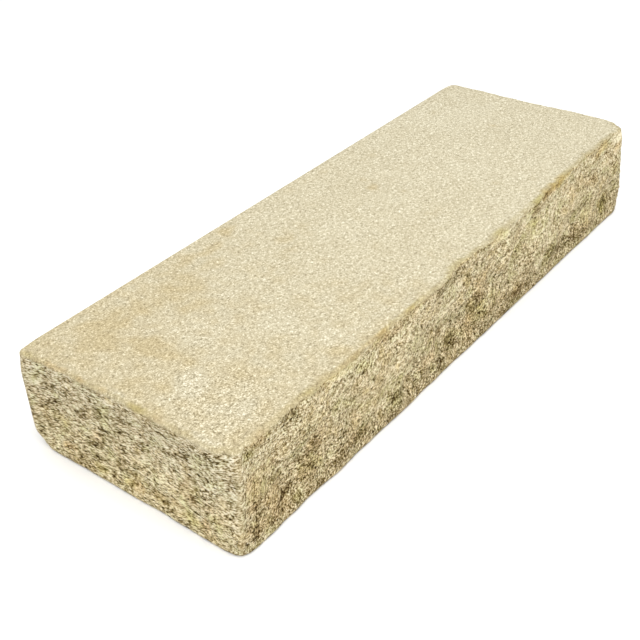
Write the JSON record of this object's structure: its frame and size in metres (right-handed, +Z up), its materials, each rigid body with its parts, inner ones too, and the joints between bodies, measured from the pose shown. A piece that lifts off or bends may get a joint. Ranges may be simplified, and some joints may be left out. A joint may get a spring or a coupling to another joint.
{
  "type": "concrete block step",
  "caption": "Solid cast concrete garden step block with a flat sandy tread, a plain back, and a rough split-rock front and ends.",
  "frame": {"origin": "centre of the bed, the flat underside the block lies on", "axes": "+X along the length, -Y out of the rough front towards the person who climbs, +Y out of the plain back, +Z up"},
  "size_m": [0.9993, 0.35, 0.15],
  "materials": {
    "concrete": "matte"
  },
  "bodies": {
    "root": {"step_block": "concrete"}
  },
  "joints": []
}
